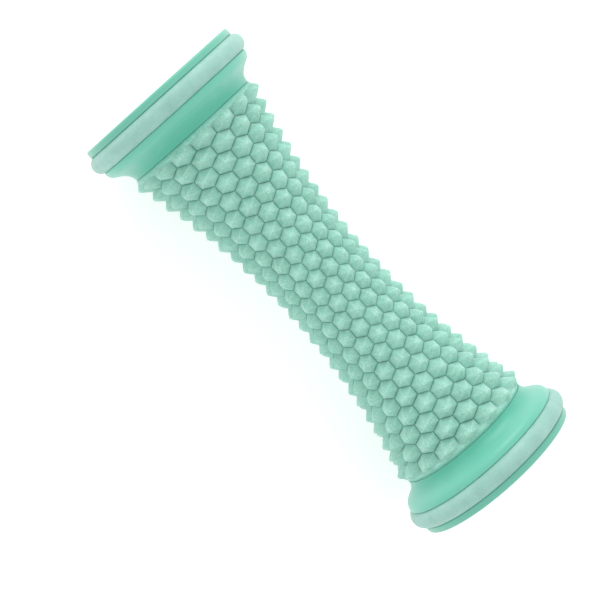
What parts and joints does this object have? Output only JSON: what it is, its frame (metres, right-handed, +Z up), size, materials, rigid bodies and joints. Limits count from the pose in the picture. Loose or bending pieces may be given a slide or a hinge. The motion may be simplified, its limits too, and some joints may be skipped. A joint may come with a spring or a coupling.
{
  "type": "foot massage roller",
  "caption": "Waisted massage roller for the sole of the foot: a soft honeycomb-studded sleeve on a rigid flanged spool with grippy rims and metal-capped ends.",
  "frame": {"origin": "middle of the roller on its axis", "axes": "+X along the roller's axis towards the right end, +Z up with the roller lying on its two rims"},
  "size_m": [0.165, 0.0634, 0.0634],
  "materials": {
    "soft_sleeve": "frosted mint soft thermoplastic rubber",
    "rim_rubber": "frosted pale mint soft thermoplastic rubber",
    "hub_plastic": "satin mint moulded plastic",
    "bezel_plastic": "satin mint moulded plastic",
    "shell_plastic": "matte green moulded plastic, hidden",
    "cap_copper": "brushed copper-coloured metal",
    "tube_steel": "plain drawn steel",
    "plated_steel": "zinc plated",
    "plug_nylon": "natural nylon",
    "pad_foam": "closed-cell foam"
  },
  "bodies": {
    "root": {"massage_sleeve": "soft_sleeve", "core_tube": "tube_steel", "left_core_shell": "shell_plastic", "right_core_shell": "shell_plastic", "left_hub": "hub_plastic", "right_hub": "hub_plastic", "left_rim_tyre": "rim_rubber", "right_rim_tyre": "rim_rubber", "left_end_bezel": "bezel_plastic", "right_end_bezel": "bezel_plastic", "left_core_cap": "cap_copper", "right_core_cap": "cap_copper", "left_cap_pad": "pad_foam", "right_cap_pad": "pad_foam", "left_tube_plug": "plug_nylon", "right_tube_plug": "plug_nylon", "left_hub_washer": "plated_steel", "right_hub_washer": "plated_steel", "left_hub_screw": "plated_steel", "right_hub_screw": "plated_steel"}
  },
  "joints": []
}
